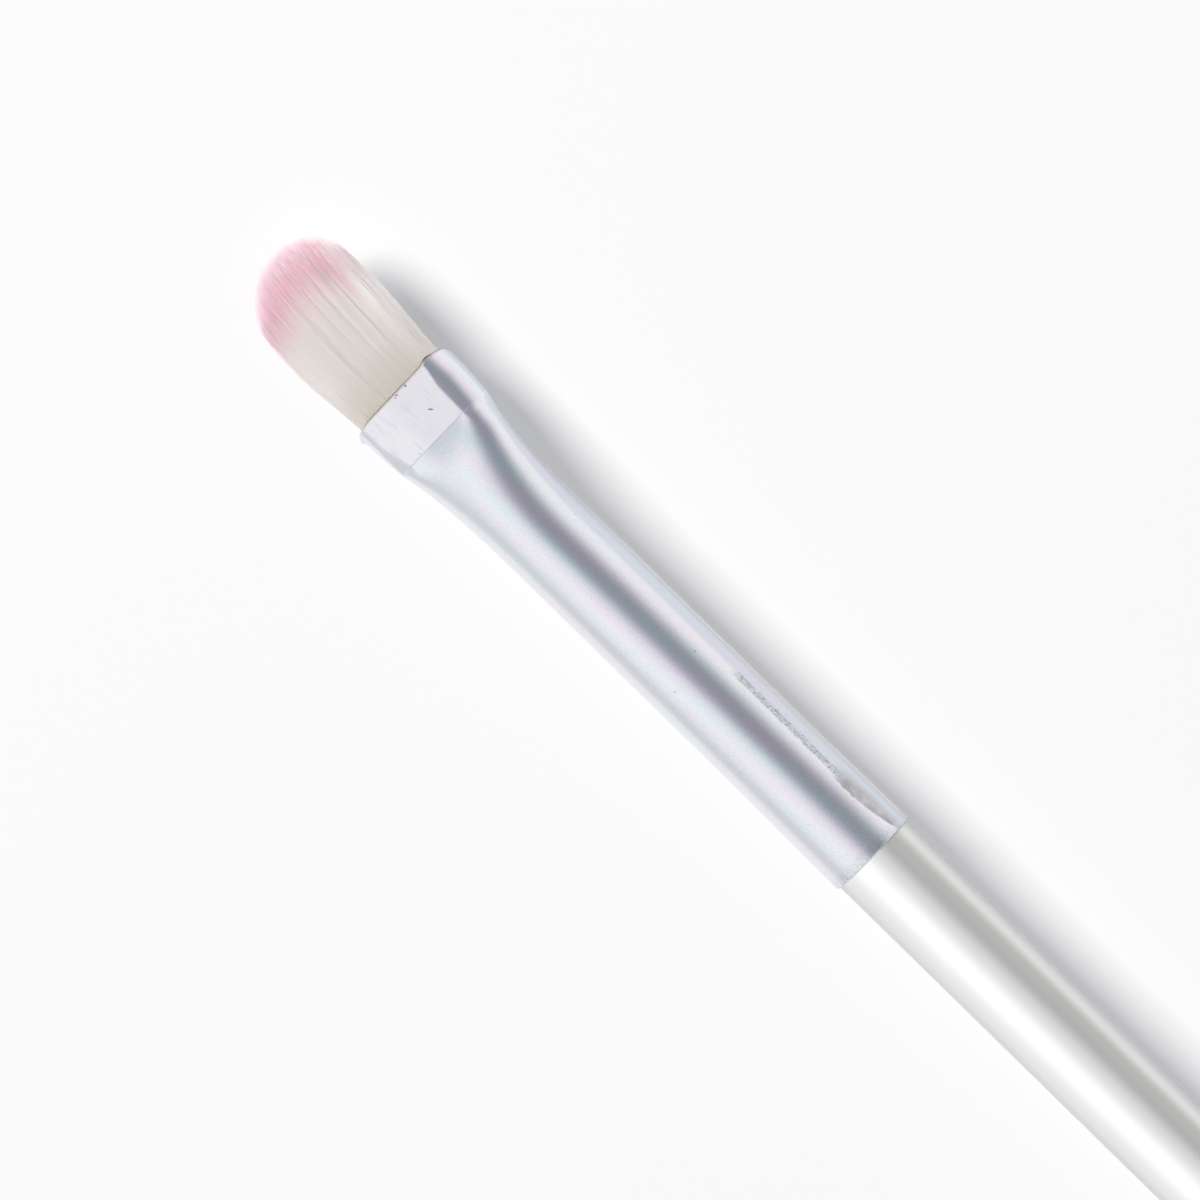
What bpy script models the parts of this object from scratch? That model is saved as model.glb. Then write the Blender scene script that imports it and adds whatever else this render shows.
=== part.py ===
# Concealer brush: a white moulded handle, a pressed aluminium ferrule and a flat tuft with a round end.
# Units are metres. The brush lies along X, tuft towards +X, with the flats of its ferrule up and down.
# Z = 0 is the surface that it lies on, and X = 0 is the middle of its length.

import math

import bmesh
import bpy
from mathutils import Vector

# Lengths that add up to the whole brush
TUFT_LENGTH = 0.0116  # from the ferrule's mouth to the tip
FERRULE_LENGTH = 0.0405
HANDLE_LENGTH = 0.1079  # from the ferrule's rim to the butt

# Ferrule: a round tube, pressed flat at the mouth and flared a little at the rim
TUBE_DIAMETER = 0.0060
RIM_DIAMETER = 0.0062
RIM_FLARE_LENGTH = 0.0100
FERRULE_WALL = 0.0003
MOUTH_WIDTH = 0.0081
MOUTH_THICKNESS = 0.0029
BELL_START = 0.0014  # the pressed mouth is widest up to here
BELL_LENGTH = 0.0030  # and has shrunk to the tube's own girth after this
RISE_LENGTH = 0.0100  # from the flats back to the round tube
RISE_SHARPNESS = 1.9  # 1 is a straight rise, more starts steeper

# Die mark on each flat
PAD_LENGTH = 0.0037
PAD_DEPTH = 0.00006
PAD_EDGE = 0.0001  # length of the step at its rear

# Handle
GRIP_DIAMETER = 0.0058  # behind the ferrule
GRIP_LENGTH = 0.0300  # as far as it stays straight
BELLY_PLACE = 0.0620  # behind the rim, where the handle is thickest
BUTT_DIAMETER = 0.0040
BUTT_ROUND_LENGTH = 0.0018
SHOULDER_CHAMFER = 0.00015

# Tenon of the handle, inside the ferrule
TENON_LENGTH = 0.0190
TENON_CLEARANCE = 0.0001  # all round, to the bore
TENON_CHAMFER = 0.0010
GROOVE_COUNT = 3
GROOVE_WIDTH = 0.0014
GROOVE_DEPTH = 0.0004
GROOVE_FIRST = 0.0035  # middle of the first, from the shoulder
GROOVE_STEP = 0.0050

# Tuft: filaments with a slice of resin cast round their roots
STRAND_PITCH = 0.000195
STRAND_DIAMETER = 0.00016
STRAND_SIDES = 3
STRAND_COVER = 0.00002  # resin outside the outermost strands
STRAND_TAPER = 0.8  # thickness where the dyed tip starts, as a share of the diameter
DYED_LENGTH = 0.0040
SIDE_ROUNDING = 0.0035  # how much shorter the outermost strands are
FACE_ROUNDING = 0.0010  # how much shorter the strands on the flat faces are
TUFT_SPREAD = 0.13  # share by which the tuft widens
TUFT_SPREAD_END = 0.5  # share of its length by which it has widened
TUFT_SWELL = 0.25  # share by which it thickens half way
TUFT_THINNING = 0.5  # share of its thickness that is lost at the tip
ROOT_DEPTH = 0.0020  # face of the resin, inside the mouth
SLICE_LENGTH = 0.0014  # slice of resin that is one solid with the strands
RESIN_LENGTH = 0.0105  # plug of resin behind the slice

# Gaps between pieces that touch
FIT_GAP = 0.0001
GLUE_GAP = 0.00005

# Fineness of the meshes
ROUND_SIDES = 40
PAD_STATIONS = 4
RISE_STATIONS = 10
FLARE_STATIONS = 4
GRIP_STATIONS = 6
TAPER_STATIONS = 8
BUTT_STATIONS = 4

# Places that follow from the sizes
overall_length = TUFT_LENGTH + FERRULE_LENGTH + HANDLE_LENGTH
mouth_x = overall_length / 2 - TUFT_LENGTH
rim_x = mouth_x - FERRULE_LENGTH
shoulder_x = rim_x - FIT_GAP
butt_x = rim_x - HANDLE_LENGTH
tube_radius = TUBE_DIAMETER / 2
rim_radius = RIM_DIAMETER / 2
tenon_radius = tube_radius - FERRULE_WALL - TENON_CLEARANCE
half_side_angle = math.pi / ROUND_SIDES
axis_height = rim_radius * math.cos(half_side_angle)


def clear_scene():
    for obj in list(bpy.data.objects):
        bpy.data.objects.remove(obj)


def new_collection(name):
    collection = bpy.data.collections.new(name)
    bpy.context.scene.collection.children.link(collection)
    return collection


def new_material(name, color, roughness, metallic=0.0):
    material = bpy.data.materials.new(name)
    material.use_nodes = True
    shader = material.node_tree.nodes["Principled BSDF"]
    shader.inputs["Base Color"].default_value = (*color, 1.0)
    shader.inputs["Roughness"].default_value = roughness
    shader.inputs["Metallic"].default_value = metallic
    return material


def new_object(name, mesh, collection, parent, *materials):
    obj = bpy.data.objects.new(name, mesh)
    collection.objects.link(obj)
    obj.parent = parent
    for material in materials:
        mesh.materials.append(material)
    return obj


def blend(start, end, share):
    return start + (end - start) * share


def ease(share):
    """Smooth step from 0 to 1."""
    share = min(1.0, max(0.0, share))
    return share * share * (3 - 2 * share)


def evenly(start, end, count):
    return [blend(start, end, index / count) for index in range(count + 1)]


# Outline of the ferrule at a depth behind its mouth: two half circles joined by straight flats


def rise(depth):
    """How far the tube has come back from pressed, 0, to round, 1."""
    share = min(1.0, max(0.0, (depth - PAD_LENGTH) / RISE_LENGTH))
    return 1 - (1 - share) ** RISE_SHARPNESS


def rim_flare(depth):
    flare_start = FERRULE_LENGTH - RIM_FLARE_LENGTH
    return (rim_radius - tube_radius) * ease((depth - flare_start) / RIM_FLARE_LENGTH)


def end_radius(depth):
    """Radius of the half circles, which is also half the thickness."""
    return blend(MOUTH_THICKNESS / 2, tube_radius, rise(depth)) + rim_flare(depth)


def half_flat(depth):
    """Half the straight part: what pressing the tube leaves of its girth, and more at the belled mouth."""
    mouth_flat = (MOUTH_WIDTH - MOUTH_THICKNESS) / 2
    tube_flat = math.pi / 2 * (tube_radius - MOUTH_THICKNESS / 2)
    belled = blend(mouth_flat, tube_flat, ease((depth - BELL_START) / BELL_LENGTH))
    return belled * (1 - rise(depth))


def outline(depth, inset=0.0):
    """Points round the ferrule at this depth, about the brush's axis, moved inwards by inset."""
    radius = end_radius(depth) - inset
    highest = radius - PAD_DEPTH if depth <= PAD_LENGTH else radius
    points = []
    for side in range(ROUND_SIDES):
        angle = half_side_angle * (2 * side + 1)
        across = math.copysign(half_flat(depth), math.cos(angle)) + radius * math.cos(angle)
        up = max(-highest, min(highest, radius * math.sin(angle)))
        points.append(Vector((mouth_x - depth, across, up)))
    return points


def stations(start, end):
    """Depths from start to end, with each place between them where the ferrule changes shape."""
    places = evenly(0.0, PAD_LENGTH, PAD_STATIONS)
    places += evenly(PAD_LENGTH + PAD_EDGE, PAD_LENGTH + RISE_LENGTH, RISE_STATIONS)
    places += evenly(FERRULE_LENGTH - RIM_FLARE_LENGTH, FERRULE_LENGTH, FLARE_STATIONS)
    return [start] + [place for place in sorted(places) if start < place < end] + [end]


def loft(name, rings, capped):
    """A skin over rings that follow each other towards the handle, with its two ends closed if capped."""
    shape = bmesh.new()
    rows = [[shape.verts.new(point) for point in ring] for ring in rings]
    for row, behind in zip(rows, rows[1:]):
        for index in range(len(row)):
            after = (index + 1) % len(row)
            shape.faces.new((row[index], behind[index], behind[after], row[after]))
    if capped:
        shape.faces.new(rows[0])
        shape.faces.new(rows[-1][::-1])
    mesh = bpy.data.meshes.new(name)
    shape.to_mesh(mesh)
    shape.free()
    return mesh


def turned(name, profile, collection, parent, material, closed=False):
    """A turned piece: (x, radius) points that run down its outer side from +X to -X, spun about the axis."""
    points = []
    for x, radius in profile:
        points.append((x, radius * math.sin(half_side_angle), radius * math.cos(half_side_angle)))
    edges = [(index, index + 1) for index in range(len(points) - 1)]
    if closed:
        edges.append((len(points) - 1, 0))
    mesh = bpy.data.meshes.new(name)
    mesh.from_pydata(points, edges, [])
    obj = new_object(name, mesh, collection, parent, material)
    spin = obj.modifiers.new("Spin", "SCREW")
    spin.axis = "X"
    spin.steps = ROUND_SIDES
    spin.render_steps = ROUND_SIDES
    spin.use_merge_vertices = True
    spin.merge_threshold = 0.00001
    spin.use_smooth_shade = True
    return obj


# Handle


def handle_radius(behind_rim):
    """Straight, then a belly as thick as the rim, so that both touch the table, then slimmer to the butt."""
    if behind_rim < BELLY_PLACE:
        share = ease((behind_rim - GRIP_LENGTH) / (BELLY_PLACE - GRIP_LENGTH))
        return blend(GRIP_DIAMETER / 2, rim_radius, share)
    share = ease((behind_rim - BELLY_PLACE) / (HANDLE_LENGTH - BELLY_PLACE))
    return blend(rim_radius, BUTT_DIAMETER / 2, share)


def groove_x(index):
    return shoulder_x + GROOVE_FIRST + GROOVE_STEP * index


def tenon_profile():
    """From the tenon's end, on the axis, back to the shoulder."""
    end = shoulder_x + TENON_LENGTH
    profile = [(end, 0.0), (end, tenon_radius - TENON_CHAMFER), (end - TENON_CHAMFER, tenon_radius)]
    floor = tenon_radius - GROOVE_DEPTH
    for index in reversed(range(GROOVE_COUNT)):
        front = groove_x(index) + GROOVE_WIDTH / 2
        back = groove_x(index) - GROOVE_WIDTH / 2
        profile += [(front, tenon_radius), (front, floor), (back, floor), (back, tenon_radius)]
    profile.append((shoulder_x, tenon_radius))
    return profile


def grip_profile():
    """From the shoulder back to the middle of the rounded butt."""
    grip_radius = GRIP_DIAMETER / 2
    profile = [(shoulder_x, grip_radius - SHOULDER_CHAMFER), (shoulder_x - SHOULDER_CHAMFER, grip_radius)]
    round_start = HANDLE_LENGTH - BUTT_ROUND_LENGTH
    places = evenly(GRIP_LENGTH, BELLY_PLACE, GRIP_STATIONS)
    places += evenly(BELLY_PLACE, round_start, TAPER_STATIONS)[1:]
    profile += [(rim_x - place, handle_radius(place)) for place in places]
    for angle in evenly(math.pi / 2, 0.0, BUTT_STATIONS)[1:]:
        along = BUTT_ROUND_LENGTH * (1 - math.cos(angle))
        profile.append((butt_x + along, handle_radius(round_start) * math.sin(angle)))
    return profile


def build_handle(parts, axis):
    white = new_material("white_gloss_plastic", (0.89, 0.89, 0.88), 0.12)
    turned("handle", tenon_profile() + grip_profile(), parts, axis, white)


def build_glue_rings(parts, axis):
    """Rings of adhesive that fill the grooves of the tenon and grip the ferrule's bore."""
    adhesive = new_material("cured_adhesive", (0.78, 0.73, 0.58), 0.35)
    inside = tenon_radius - GROOVE_DEPTH + GLUE_GAP
    for index in range(GROOVE_COUNT):
        front = groove_x(index) + GROOVE_WIDTH / 2 - GLUE_GAP
        back = groove_x(index) - GROOVE_WIDTH / 2 + GLUE_GAP
        outside = [(x, end_radius(mouth_x - x) - FERRULE_WALL - GLUE_GAP) for x in (front, back)]
        profile = outside + [(back, inside), (front, inside)]
        turned(f"glue_ring_{index + 1}", profile, parts, axis, adhesive, closed=True)


# Ferrule


def build_ferrule(parts, axis):
    pearl = new_material("pearl_aluminium", (0.78, 0.79, 0.84), 0.3, 1.0)
    rings = [outline(depth) for depth in stations(0.0, FERRULE_LENGTH)]
    ferrule = new_object("ferrule", loft("ferrule", rings, capped=False), parts, axis, pearl)
    ferrule.data.shade_smooth()
    wall = ferrule.modifiers.new("Wall", "SOLIDIFY")
    wall.thickness = FERRULE_WALL
    wall.offset = -1.0
    wall.use_even_offset = True


# Tuft and resin


def strand_room(depth):
    """How far from the axis a strand's middle may be: half the straight part, and the radius round its ends."""
    slice_radius = end_radius(depth) - FERRULE_WALL - FIT_GAP
    return half_flat(depth), slice_radius - STRAND_COVER - STRAND_DIAMETER / 2


def strand_roots():
    """Rows of roots, each row half a pitch aside from the next, as (across, up) pairs."""
    flat, radius = strand_room(ROOT_DEPTH)
    row_step = STRAND_PITCH * math.sqrt(3) / 2
    row_limit = int((radius - PAD_DEPTH) / row_step)
    roots = []
    for row in range(-row_limit, row_limit + 1):
        up = row * row_step
        limit = flat + math.sqrt(radius * radius - up * up)
        aside = STRAND_PITCH / 2 * (row % 2)
        columns = int(limit / STRAND_PITCH) + 1
        for column in range(-columns, columns + 1):
            across = column * STRAND_PITCH + aside
            if abs(across) <= limit:
                roots.append((across, up))
    return roots


def strand_length(across, up):
    """Longest in the middle, so that the tuft's end is round from above and from the side."""
    flat, radius = strand_room(ROOT_DEPTH)
    side = min(1.0, abs(across) / (flat + radius))
    face = abs(up) / radius
    return TUFT_LENGTH - SIDE_ROUNDING * (1 - math.sqrt(1 - side * side)) - FACE_ROUNDING * face * face


def strand_point(across, up, reach):
    """Middle of a strand, reach in front of the mouth: the tuft widens, swells and then thins."""
    share = max(0.0, reach / TUFT_LENGTH)
    wider = 1 + TUFT_SPREAD * ease(share / TUFT_SPREAD_END)
    thicker = 1 + TUFT_SWELL * 4 * share * (1 - share) - TUFT_THINNING * share * share
    return Vector((mouth_x + reach, across * wider, up * thicker))


def add_strand(shape, across, up, dyed_slot):
    """One filament: straight from inside the slice of resin to the mouth, and then spreading to its point."""
    length = strand_length(across, up)
    root = -ROOT_DEPTH - SLICE_LENGTH / 2
    rows = []
    for reach, thickness in ((root, 1.0), (0.0, 1.0), (length - DYED_LENGTH, STRAND_TAPER)):
        row = []
        for side in range(STRAND_SIDES):
            angle = 2 * math.pi * side / STRAND_SIDES
            offset = Vector((0.0, math.cos(angle), math.sin(angle))) * thickness * STRAND_DIAMETER / 2
            row.append(shape.verts.new(strand_point(across, up, reach) + offset))
        rows.append(row)
    tip = shape.verts.new(strand_point(across, up, length))
    shape.faces.new(rows[0][::-1])
    for side in range(STRAND_SIDES):
        after = (side + 1) % STRAND_SIDES
        for row, ahead in zip(rows, rows[1:]):
            shape.faces.new((row[side], row[after], ahead[after], ahead[side]))
        end = shape.faces.new((rows[-1][side], rows[-1][after], tip))
        end.material_index = dyed_slot


def build_strands(cutters, axis, materials):
    shape = bmesh.new()
    roots = strand_roots()
    for across, up in roots:
        add_strand(shape, across, up, dyed_slot=1)
    mesh = bpy.data.meshes.new("strands")
    shape.to_mesh(mesh)
    shape.free()
    strands = new_object("strands", mesh, cutters, axis, *materials)
    strands.hide_render = True
    strands.display_type = "WIRE"
    print(f"{len(roots)} strands")
    return strands


def cast_resin(name, start, length, parts, axis, *materials):
    """Resin that fills the ferrule from a depth behind its mouth."""
    rings = [outline(depth, FERRULE_WALL + FIT_GAP) for depth in stations(start, start + length)]
    return new_object(name, loft(name, rings, capped=True), parts, axis, *materials)


def build_tuft(parts, cutters, axis):
    """The filaments are one solid with the slice of resin round their roots."""
    ivory = new_material("ivory_filament", (0.72, 0.67, 0.59), 0.45)
    dyed = new_material("dyed_filament", (0.83, 0.42, 0.53), 0.45)
    tuft = cast_resin("bristle_tuft", ROOT_DEPTH, SLICE_LENGTH, parts, axis, ivory, dyed)
    union = tuft.modifiers.new("Strands", "BOOLEAN")
    union.operation = "UNION"
    union.object = build_strands(cutters, axis, (ivory, dyed))


def build_root_resin(parts, axis):
    resin = new_material("root_resin", (0.55, 0.42, 0.22), 0.3)
    cast_resin("root_resin", ROOT_DEPTH + SLICE_LENGTH + FIT_GAP, RESIN_LENGTH, parts, axis, resin)


def main():
    clear_scene()
    parts = new_collection("concealer_brush")
    cutters = new_collection("cutters")
    axis = bpy.data.objects.new("brush_axis", None)
    axis.location = (0.0, 0.0, axis_height)
    parts.objects.link(axis)
    build_handle(parts, axis)
    build_glue_rings(parts, axis)
    build_ferrule(parts, axis)
    build_tuft(parts, cutters, axis)
    build_root_resin(parts, axis)


main()
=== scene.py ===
import math

import bpy
import numpy as np
from mathutils import Matrix, Vector


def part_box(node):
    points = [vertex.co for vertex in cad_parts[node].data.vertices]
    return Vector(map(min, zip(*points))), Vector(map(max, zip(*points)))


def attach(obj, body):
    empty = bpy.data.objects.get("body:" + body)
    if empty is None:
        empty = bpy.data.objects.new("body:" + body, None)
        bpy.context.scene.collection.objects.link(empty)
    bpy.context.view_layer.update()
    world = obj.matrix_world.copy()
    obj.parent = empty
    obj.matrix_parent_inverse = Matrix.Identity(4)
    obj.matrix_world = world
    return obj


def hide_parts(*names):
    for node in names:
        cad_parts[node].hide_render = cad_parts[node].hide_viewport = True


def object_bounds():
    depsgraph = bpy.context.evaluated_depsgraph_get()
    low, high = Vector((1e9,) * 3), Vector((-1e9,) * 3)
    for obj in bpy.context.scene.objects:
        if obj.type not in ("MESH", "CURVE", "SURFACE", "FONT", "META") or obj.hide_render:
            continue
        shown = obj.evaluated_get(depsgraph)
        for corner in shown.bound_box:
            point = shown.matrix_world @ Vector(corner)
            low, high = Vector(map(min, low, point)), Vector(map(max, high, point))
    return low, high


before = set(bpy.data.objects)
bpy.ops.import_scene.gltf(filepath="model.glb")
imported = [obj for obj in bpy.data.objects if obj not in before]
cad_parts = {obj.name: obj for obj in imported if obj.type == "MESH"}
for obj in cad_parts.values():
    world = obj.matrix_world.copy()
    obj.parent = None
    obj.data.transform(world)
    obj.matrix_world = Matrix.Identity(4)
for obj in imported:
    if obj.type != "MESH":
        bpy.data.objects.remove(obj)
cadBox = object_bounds()

scene = bpy.context.scene
mm = 0.001
ferruleLow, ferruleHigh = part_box("ferrule")
handleLow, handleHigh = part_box("handle")
mouthX = ferruleHigh.x
rimX = ferruleLow.x
axisZ = (ferruleLow.z + ferruleHigh.z) / 2
rimRadius = (ferruleHigh.z - ferruleLow.z) / 2

# What the panels of light reach: the tuft, the handle, or the rest
lightNames = "fibresOnly", "handleOnly", "allElse"
fibreOnly, handleOnly, allElse = [bpy.data.collections.new(name) for name in lightNames]
lightGroups = {"bristles": fibreOnly, "handle": handleOnly}


def ease(share):
    share = np.clip(share, 0.0, 1.0)
    return share * share * (3 - 2 * share)


def mix(start, end, share):
    return start + (end - start) * share


def toLinear(hexColour):
    # sRGB hex to the linear colour that Blender's sockets hold
    channels = [int(hexColour[at:at + 2], 16) / 255 for at in (1, 3, 5)]
    linear = [c / 12.92 if c <= 0.04045 else ((c + 0.055) / 1.055) ** 2.4 for c in channels]
    return (*linear, 1.0)


def addNode(tree, kind, inputs=None, stops=None, **settings):
    # An input is a number, a hex colour, a socket, or a node, which stands for its first output in use
    node = tree.nodes.new("ShaderNode" + kind)
    for name, value in settings.items():
        setattr(node, name, value)
    for name, value in (inputs or {}).items():
        if isinstance(value, bpy.types.Node):
            value = next(output for output in value.outputs if output.enabled)
        if isinstance(value, bpy.types.NodeSocket):
            tree.links.new(value, node.inputs[name])
        else:
            node.inputs[name].default_value = toLinear(value) if isinstance(value, str) else value
    for index, (position, hexColour) in enumerate(stops or []):
        ramp = node.color_ramp.elements
        stop = ramp[index] if index < 2 else ramp.new(position)
        stop.position = position
        stop.color = toLinear(hexColour)
    return node


def newMaterial(name):
    material = bpy.data.materials.new(name)
    material.use_nodes = True
    material.node_tree.nodes.clear()
    return material, material.node_tree


def coordinatesInMm(tree):
    # The place and its three parts. Object coordinates are metres in the row frame, here turned to millimetres
    # from the middle of the mouth
    place = addNode(tree, "TexCoord").outputs["Object"]
    moved = addNode(tree, "VectorMath", {0: place, 1: (mouthX, 0.0, axisZ)}, operation="SUBTRACT")
    place = addNode(tree, "VectorMath", {0: moved, "Scale": 1 / mm}, operation="SCALE")
    return place, *addNode(tree, "SeparateXYZ", {0: place}).outputs


def newObject(name, data):
    item = bpy.data.objects.new(name, data)
    scene.collection.objects.link(item)
    return item


def meshObject(name, points, faces, material):
    mesh = bpy.data.meshes.new(name)
    mesh.from_pydata(points, [], faces)
    mesh.materials.append(material)
    return newObject(name, mesh)


def newPiece(name, points, faces, slot, material, *replaced):
    piece = meshObject(name, points, faces, material)
    piece.data.shade_smooth()
    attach(piece, "root")
    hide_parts(*replaced)
    lightGroups.get(slot, allElse).objects.link(piece)
    return piece


def storeOnPoints(piece, name, values):
    piece.data.attributes.new(name, "FLOAT", "POINT").data.foreach_set("value", values)


def skinOver(rings, closed=False):
    # Points and faces over rings that run towards the handle. A closed skin's last ring joins its first, any
    # other is capped at both ends
    count = len(rings[0])
    faces = []
    for row in range(len(rings) if closed else len(rings) - 1):
        behind = (row + 1) % len(rings)
        for index in range(count):
            after = (index + 1) % count
            corners = (row, index), (behind, index), (behind, after), (row, after)
            faces.append(tuple(ring * count + at for ring, at in corners))
    if not closed:
        last = len(rings) * count
        faces += [tuple(range(count)), tuple(range(last - count, last))[::-1]]
    return [tuple(point) for ring in rings for point in ring], faces


# Ferrule

ferruleLook = {
    "tubeRadius": 3.0 * mm,
    "mouthThickness": 2.9 * mm,
    "wall": 0.3 * mm,
    "padLength": 3.7 * mm,
    "padDepth": 0.07 * mm,  # at the mouth
    "padDepthRear": 0.03 * mm,
    "padCrease": 0.02 * mm,  # softness of the die mark's edges
    "padMiddle": 1.4 * mm,
    "padHalfNear": (3.03 * mm, 2.66 * mm, 2.60 * mm),  # half width at the mouth, at padMiddle and at its rear
    "padHalfFar": (3.32 * mm, 2.98 * mm, 2.42 * mm),
    "padPastFlat": 0.5 * mm,  # how far it may reach past the flat behind it
    # Slope in degrees of the near shoulder, from the die mark's edge at 0 to the ferrule's widest point at 1
    "shoulderNear": ((0.0, 26.0), (0.31, 36.0), (0.58, 53.0), (0.87, 58.0), (1.0, 90.0)),
    "nearSink": 0.28 * mm,  # how far below the axis that widest point lies
    "shoulderFar": (0.30, 100.0),  # on the far side a long slope, ever steeper
    "shoulderFade": 2.2 * mm,
    "farFade": 1.6 * mm,
    "riseLength": 10.0 * mm,
    "riseSharpness": 2.4,
    "softTurn": 1.8 * mm,
    "softTurnLength": 2.0 * mm,
    "bellStart": 1.4 * mm,
    "bellLength": 3.0 * mm,
    "rimFlareLength": 10.0 * mm,
    "edgeRound": 0.06 * mm,
    "lip": 0.13 * mm,  # cut edge, leaning forward
    "lipNear": 0.20 * mm,  # more at the mouth's near corner
    "cornerDraw": 0.42 * mm,  # how far the near end is drawn back
    "farCornerDraw": 0.16 * mm,
    "burrHeight": 0.20 * mm,  # lip turned out at the mouth's far corner
    # Where those lie: middle and spread in radians round the section from +Y over the top
    "nearSinkAround": (math.pi, 0.62),
    "lipNearAround": (2.1, 0.42),
    "cornerAround": (3.60, 0.62),
    "burrAround": (0.42, 0.24),
    "burrBehind": (0.36, 0.24),  # and in mm behind the mouth
    "ringStep": 0.12 * mm,  # between the rings of points over the die mark
    "ringStepRear": 0.22 * mm,
    "sides": 260,
}


def ferruleRise(depth):
    share = np.clip((depth - ferruleLook["padLength"]) / ferruleLook["riseLength"], 0, 1)
    return 1 - (1 - share) ** ferruleLook["riseSharpness"]


def endRadius(depth):
    # Radius of the section's half circles, which is half its thickness
    length = mouthX - rimX
    flareShare = (depth - length) / ferruleLook["rimFlareLength"] + 1
    flare = (rimRadius - ferruleLook["tubeRadius"]) * ease(flareShare)
    return mix(ferruleLook["mouthThickness"] / 2, ferruleLook["tubeRadius"], ferruleRise(depth)) + flare


def halfFlat(depth):
    # Half the straight part of the section: widest at the belled mouth, gone where the tube is round
    thin = ferruleLook["mouthThickness"] / 2
    mouthFlat = ferruleHigh.y - thin
    tubeFlat = math.pi / 2 * (ferruleLook["tubeRadius"] - thin)
    belled = mix(mouthFlat, tubeFlat, ease((depth - ferruleLook["bellStart"]) / ferruleLook["bellLength"]))
    return belled * (1 - ferruleRise(depth))


def sectionAround(depth, sides):
    # Points spread evenly round the section from +Y over the top, and the direction that the metal faces there
    flat, radius = halfFlat(depth), endRadius(depth)
    quarter = math.pi * radius / 2
    corners = np.cumsum([0, quarter, 2 * flat, 2 * quarter, 2 * flat, quarter])
    around = corners[-1]
    along = (np.arange(sides) + 0.5) / sides * around
    knots = np.concatenate([corners - around, corners[1:], corners[1:] + around])
    turns = np.radians([0, 90, 90, 270, 270, 360])
    facing = np.concatenate([turns - 2 * math.pi, turns[1:], turns[1:] + 2 * math.pi])
    # Behind the die mark the flats go over into the ends without a crease
    spread = ferruleLook["softTurn"] * ease((depth - ferruleLook["padLength"]) / ferruleLook["softTurnLength"])
    offsets = np.linspace(-spread, spread, 15)
    angle = np.mean([np.interp(along + offset, knots, facing) for offset in offsets], axis=0)
    y = np.cumsum(-np.sin(angle))
    z = np.cumsum(np.cos(angle))
    y = (y - (y.max() + y.min()) / 2) * 2 * (flat + radius) / (y.max() - y.min())
    z = (z - (z.max() + z.min()) / 2) * 2 * radius / (z.max() - z.min())
    return y, z, angle


def shoulderShares():
    # How far across and how far down the near shoulder goes, both as shares of the whole
    places, slopes = np.array(ferruleLook["shoulderNear"]).T
    slope = np.radians(np.interp(np.linspace(0, 1, 90), places, slopes))
    across = np.concatenate([[0], np.cumsum(np.cos(slope))])
    down = np.concatenate([[0], np.cumsum(np.sin(slope))])
    return across / across[-1], down / down[-1]


def softMinimum(values, limit, softness):
    share = np.clip(0.5 + 0.5 * (limit - values) / softness, 0, 1)
    return mix(limit, values, share) - softness * share * (1 - share)


def hump(values, middle, spread):
    return np.exp(-((values - middle) / spread) ** 2)


def ferruleRing(depth, inset, lipShare=0.0):
    look = ferruleLook
    y, z, angle = sectionAround(depth, look["sides"])
    burrShape = hump(depth / mm, *look["burrBehind"]) * hump(angle, *look["burrAround"])
    outward = look["burrHeight"] * burrShape - inset
    y = y + outward * np.cos(angle)
    z = z + outward * np.sin(angle)
    # The die mark: a flat whose edges are creases, with shoulders that fall away from it
    behind = depth - look["padLength"]
    places = [0.0, look["padMiddle"], look["padLength"]]
    widest = halfFlat(max(depth, look["padLength"])) + look["padPastFlat"]
    halfNear = min(np.interp(depth, places, look["padHalfNear"]), widest)
    halfFar = min(np.interp(depth, places, look["padHalfFar"]), widest)
    if behind <= 0:
        press = mix(look["padDepth"], look["padDepthRear"], depth / look["padLength"])
        top = look["mouthThickness"] / 2 - press
    else:
        top = endRadius(depth) + 0.02 * mm * ease(behind / mm)
    beyondNear = np.maximum(0, -y - halfNear)
    beyondFar = np.maximum(0, y - halfFar)
    reached = np.clip(beyondNear / (-y.min() - halfNear), 0, 1)
    fallNear = top * np.interp(reached, *shoulderShares()) * (1 - ease(behind / look["shoulderFade"]))
    slope, curve = look["shoulderFar"]
    fallFar = (slope * beyondFar + curve * beyondFar ** 2) * (1 - ease(behind / look["farFade"]))
    fall = (fallNear + fallFar) * (z > 0)
    z = np.sign(z) * softMinimum(np.abs(z), np.maximum(top - inset - fall, 0.02 * mm), look["padCrease"])
    z -= look["nearSink"] * hump(angle, *look["nearSinkAround"]) * (1 - ease(behind / look["shoulderFade"]))
    # The two narrow ends of the mouth are drawn back a little from its flats, and its cut edge leans forward
    near = look["cornerDraw"] * hump(angle, *look["cornerAround"])
    far = look["farCornerDraw"] * ease((y / mm - 2.2) / 1.8)
    lip = look["lip"] + look["lipNear"] * hump(angle, *look["lipNearAround"])
    back = (near + far) * (1 - ease(depth / mm / 2.5)) - lip * lipShare
    return np.column_stack([mouthX - depth - back, y, axisZ + z])


def roundedEdge(edge, inward, wall, roundness):
    # (depth, inset) rows over the rounded edge of a wall. inward is the direction from the edge into the tube
    rows = []
    for angle in np.radians([0, 30, 60, 90]):
        rows.append((edge + inward * roundness * (1 - math.sin(angle)), roundness * (1 - math.cos(angle))))
    return rows + [(depth, wall - inset) for depth, inset in reversed(rows)]


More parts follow.
